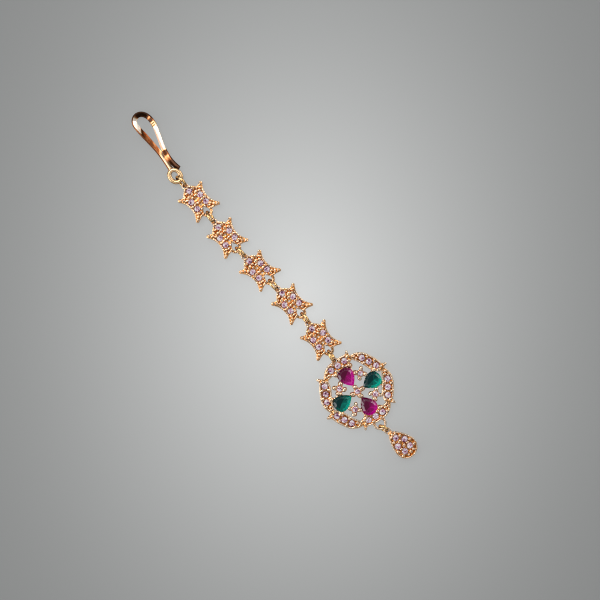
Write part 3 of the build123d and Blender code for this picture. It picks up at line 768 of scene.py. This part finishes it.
leaves = [stone_middles(f"leaf_{number}_stones") for number in range(1, 7)]
inner = stone_middles("inner_stones")
setting = cast("pendant_frame", PENDANT_CELL, PENDANT_POLISH, PENDANT_KEPT)
show("pendant_setting", setting, cast_gold, "gold_plated_brass", "pendant_frame")
for number, middles in enumerate(leaves, 1):
    stones = stones_mesh(f"leaf stones {number}", middles, SMALL_RADIUS, LEAF_SEEDS + number)
    node = f"leaf_{number}_stones"
    show(f"leaf_round_stones_{number}", stones, pink_stone, "pink_stone", node)
stones = stones_mesh("inner stones", inner, CENTRE_RADIUS, INNER_SEED)
show("inner_round_stones", stones, pink_stone, "pink_stone", "inner_stones")


def pear_mesh(node, middle, lit):
    """A pear cut: the teardrop (sin t sin^0.8(t/2), -cos t), scaled at seven levels about
    its heart, with some levels turned by half a facet, and flat facets between them."""
    low, high = (np.array(corner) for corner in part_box(node))
    centre = ((low + high) / 2)[:2]
    ahead = centre - middle
    ahead /= np.linalg.norm(ahead)
    # the pear lies square to the pendant, so its nearest quarter turn is its own
    turns = np.radians(np.arange(4) * 90 + PENDANT_TURN)
    choices = np.stack([-np.sin(turns), np.cos(turns)], -1)
    ahead = choices[(choices @ ahead).argmax()]
    aside = np.array([ahead[1], -ahead[0]])
    heights, scales, turned = PEAR_LEVELS.T[..., None]
    step = 2 * np.pi / PEAR_SIDES
    t = np.arange(PEAR_SIDES) * step + turned * step / 2
    t = t % (2 * np.pi)
    x = np.sin(t) * np.sin(t / 2) ** PEAR_DRAWN / PEAR_FULLEST
    y = -np.cos(t)
    x = x * scales * PEAR_WIDTH / 2
    y = (PEAR_HEART + (y - PEAR_HEART) * scales) * PEAR_LENGTH / 2
    out = np.hypot(*(centre - middle)) + y
    flat = middle + out[..., None] * ahead + x[..., None] * aside
    z = np.broadcast_to(heights * MM, x.shape)
    places = np.concatenate([flat, z[..., None]], -1)
    # each square between two levels is cut into two facets
    index = np.arange(x.size).reshape(x.shape)
    after = np.roll(index, -1, 1)
    here, beside = index[:-1], after[:-1]
    above, above_beside = index[1:], after[1:]
    # where the next level is turned on by half a facet, the cut runs the other way
    onward = (turned[1:] > turned[:-1])[..., None]
    first = np.where(
        onward,
        np.stack([here, beside, above], -1),
        np.stack([here, beside, above_beside], -1),
    )
    second = np.where(
        onward,
        np.stack([beside, above_beside, above], -1),
        np.stack([here, above_beside, above], -1),
    )
    faces = np.concatenate([first.reshape(-1, 3), second.reshape(-1, 3)])
    mesh = bpy.data.meshes.new(node)
    mesh.from_pydata(places.reshape(-1, 3).tolist(), [], faces.tolist())
    turn_outwards(mesh, PEAR_MERGE)
    # painted light: light that would come in at one side of the stone and gather inside the
    # other is painted onto it as a glow, of which each facet shows a bit, and the table is
    # painted darker
    facets = read(mesh.polygons, "center")
    heart = middle + np.hypot(*(centre - middle)) * ahead
    glow = (facets[:, :2] - heart) @ PAINTED_GLOW_WAY / (PEAR_WIDTH / 2) + lit
    glow -= PAINTED_TABLE_DARKER * (facets[:, 2] > TABLE_ABOVE)
    glow += np.random.default_rng(FACET_SEED).uniform(-FACET_PLAY, FACET_PLAY, len(facets))
    store(mesh, "glow", glow, "FACE")
    return mesh


def gem_material(name, deep, body, bright, ior):
    """A clear coloured stone: nearly black where it is deep, and painted as lit up at its far
    side.
    """
    material = bpy.data.materials.new(name)
    material.use_nodes = True
    nodes, links = material.node_tree.nodes, material.node_tree.links
    shader = nodes["Principled BSDF"]
    shader.inputs["Roughness"].default_value = 0.04
    shader.inputs["IOR"].default_value = ior
    shader.inputs["Specular IOR Level"].default_value = 0.45
    shader.inputs["Transmission Weight"].default_value = 0.02
    glow = nodes.new("ShaderNodeAttribute")
    glow.attribute_name = "glow"
    place = nodes.new("ShaderNodeTexCoord")
    silk = nodes.new("ShaderNodeTexNoise")
    silk.inputs["Scale"].default_value = SILK
    links.new(place.outputs["Object"], silk.inputs["Vector"])
    clouded = nodes.new("ShaderNodeMath")
    clouded.operation = "MULTIPLY_ADD"
    links.new(silk.outputs["Fac"], clouded.inputs[0])
    clouded.inputs[1].default_value = SILK_SHIFT
    links.new(glow.outputs["Fac"], clouded.inputs[2])
    spread = nodes.new("ShaderNodeMapRange")
    spread.inputs["From Min"].default_value = GLOW_FROM
    spread.inputs["From Max"].default_value = GLOW_TO
    links.new(clouded.outputs[0], spread.inputs["Value"])
    ramp = nodes.new("ShaderNodeValToRGB")
    stops = ramp.color_ramp.elements
    stops[0].position, stops[0].color = 0.25, deep
    stops[1].position, stops[1].color = 1.0, bright
    stops.new(0.65).color = body
    links.new(spread.outputs["Result"], ramp.inputs[0])
    links.new(ramp.outputs["Color"], shader.inputs["Base Color"])
    return material


ruby = gem_material(
    "ruby",
    deep=(0.10, 0.0, 0.03, 1),
    body=(0.36, 0.0, 0.15, 1),
    bright=(0.76, 0.0, 0.38, 1),
    ior=1.77,
)
emerald = gem_material(
    "emerald",
    deep=(0.0, 0.03, 0.03, 1),
    body=(0.0, 0.18, 0.135, 1),
    bright=(0.0, 0.62, 0.45, 1),
    ior=1.6,
)
for node, material, lit in (  # the last is how much more painted glow that stone gets
    ("ruby_top", ruby, 0.3),
    ("ruby_bottom", ruby, -0.1),
    ("emerald_left", emerald, 0.1),
    ("emerald_right", emerald, 0.05),
):
    pear = pear_mesh(node, inner.mean(0), lit)
    show("pear_" + node, pear, material, node.split("_")[0], node)


# === Drop ================================================================================
# The teardrop at the end is a brass casting like the links, polished, plated and set with
# five of the same stones. It hangs from the last jump ring.
DROP_SEED = 30

middles = stone_middles("drop_stones")
drop = cast("drop_setting", LINK_CELL, LINK_POLISH, LINK_KEPT)
show("drop_link", drop, cast_gold, "gold_plated_brass", "drop_setting")
stones = stones_mesh("drop stones", middles, SMALL_RADIUS, DROP_SEED)
show("drop_round_stones", stones, pink_stone, "pink_stone", "drop_stones")


# === Table, light and camera =============================================================
# The ornament lies on a lit sheet of opal acrylic, which is brightest below it. Three soft
# boxes stand round it in a dim room, and nothing bright hangs over it. The camera looks
# straight down.
VIEW_TURN = radians(-39.5)
VIEW_MIDDLE = np.array([3.738, -7.799]) * MM
VIEW_WIDTH = 0.159
CAMERA_HEIGHT = 0.45
FILM_WIDTH = 36  # millimetres
SHEET_HALF = 3
SHEET_CLEAR = 0.02 * MM  # below the backs of the castings, so that no two faces coincide
SHEET_TONE = 0.12  # of the acrylic itself, without its light
SHEET_GLOW = (0.118, 0.158, 1)  # how far its light reaches across and along the view

scene = bpy.context.scene
scene.view_settings.view_transform = "Standard"
scene.cycles.filter_width = 1.1


def in_view(right, up, height):
    """A place from how far right of and above the middle of the view it is, in metres."""
    cos, sin = np.cos(VIEW_TURN), np.sin(VIEW_TURN)
    x, y = VIEW_MIDDLE
    return Vector((x + right * cos - up * sin, y + right * sin + up * cos, height))


def opal_sheet_material():
    """Opal acrylic, lit from below: it is paler and brighter towards its middle."""
    material = bpy.data.materials.new("opal sheet")
    material.use_nodes = True
    nodes, links = material.node_tree.nodes, material.node_tree.links
    shader = nodes["Principled BSDF"]
    shader.inputs["Base Color"].default_value = (SHEET_TONE, SHEET_TONE, SHEET_TONE, 1)
    shader.inputs["Roughness"].default_value = 0.85
    shader.inputs["Specular IOR Level"].default_value = 0.15
    shader.inputs["Emission Strength"].default_value = 1
    place = nodes.new("ShaderNodeTexCoord")
    turn = nodes.new("ShaderNodeMapping")
    turn.vector_type = "TEXTURE"
    turn.inputs["Location"].default_value = in_view(0, 0, 0)
    turn.inputs["Rotation"].default_value = (0, 0, VIEW_TURN)
    turn.inputs["Scale"].default_value = SHEET_GLOW
    ball = nodes.new("ShaderNodeTexGradient")
    ball.gradient_type = "QUADRATIC_SPHERE"
    ramp = nodes.new("ShaderNodeValToRGB")
    stops = ramp.color_ramp.elements
    stops[0].position, stops[0].color = 0.0, (0.145, 0.15, 0.147, 1)
    stops[1].position, stops[1].color = 1.0, (0.62, 0.632, 0.626, 1)
    links.new(place.outputs["Object"], turn.inputs["Vector"])
    links.new(turn.outputs["Vector"], ball.inputs["Vector"])
    links.new(ball.outputs["Fac"], ramp.inputs[0])
    links.new(ramp.outputs["Color"], shader.inputs["Emission Color"])
    return material


sheet = bpy.data.meshes.new("table sheet")
square = np.array([(-1, -1, 0), (1, -1, 0), (1, 1, 0), (-1, 1, 0)]) * SHEET_HALF
square = square - [0, 0, SHEET_CLEAR]
sheet.from_pydata(square.tolist(), [], [(0, 1, 2, 3)])
sheet.materials.append(opal_sheet_material())
table = bpy.data.objects.new("table_sheet", sheet)
scene.collection.objects.link(table)


def soft_box(name, right, up, height, wide, tall, glow):
    """A soft box that faces the ornament, from so far right of, above and over the middle of
    the view. Its cloth is wide by tall, in metres, and glow is how bright it is."""
    lamp = bpy.data.lights.new(name, "AREA")
    lamp.shape = "RECTANGLE"
    lamp.size, lamp.size_y = wide, tall
    lamp.energy = glow * wide * tall * np.pi
    box = bpy.data.objects.new(name, lamp)
    box.location = in_view(right, up, height)
    aim = in_view(0, 0, 0) - box.location
    box.rotation_euler = aim.to_track_quat("-Z", "Y").to_euler()
    scene.collection.objects.link(box)


soft_box("key box", -0.20, 0.26, 0.60, 0.42, 0.42, 2.7)
soft_box("left box", -0.62, -0.20, 0.22, 0.55, 0.26, 2.8)
soft_box("right box", 0.50, 0.36, 0.26, 0.45, 0.26, 2.1)

# the room's walls are dark, its ceiling is light all round and dark above the camera, and
# the camera itself sees a plain wall
world = bpy.data.worlds.new("room")
world.use_nodes = True
room, room_links = world.node_tree.nodes, world.node_tree.links
background = room["Background"]
way = room.new("ShaderNodeTexCoord")
height = room.new("ShaderNodeSeparateXYZ")
room_links.new(way.outputs["Generated"], height.inputs[0])
walls = room.new("ShaderNodeValToRGB")
walls.color_ramp.elements[1].color = (0.13, 0.13, 0.133, 1)
for position, grey in ((0.0, 0.015), (0.3, 0.02), (0.5, 0.55), (0.88, 0.65), (0.96, 0.16)):
    stop = walls.color_ramp.elements.new(position)
    stop.color = (grey, grey, grey * 1.03, 1)
walls.color_ramp.elements.remove(walls.color_ramp.elements[0])
room_links.new(height.outputs["Z"], walls.inputs[0])
seen = room.new("ShaderNodeLightPath")
plain = room.new("ShaderNodeMix")
plain.data_type = "RGBA"
room_links.new(seen.outputs["Is Camera Ray"], plain.inputs["Factor"])
room_links.new(walls.outputs["Color"], plain.inputs["A"])
plain.inputs["B"].default_value = (0.30, 0.30, 0.30, 1)
room_links.new(plain.outputs["Result"], background.inputs["Color"])
scene.world = world

camera_data = bpy.data.cameras.new("camera")
camera_data.sensor_width = FILM_WIDTH
camera_data.lens = FILM_WIDTH * CAMERA_HEIGHT / VIEW_WIDTH
camera_data.clip_start = 0.01
camera = bpy.data.objects.new("camera", camera_data)
camera.location = in_view(0, 0, CAMERA_HEIGHT)
camera.rotation_euler = (0, 0, VIEW_TURN)
scene.collection.objects.link(camera)
scene.camera = camera
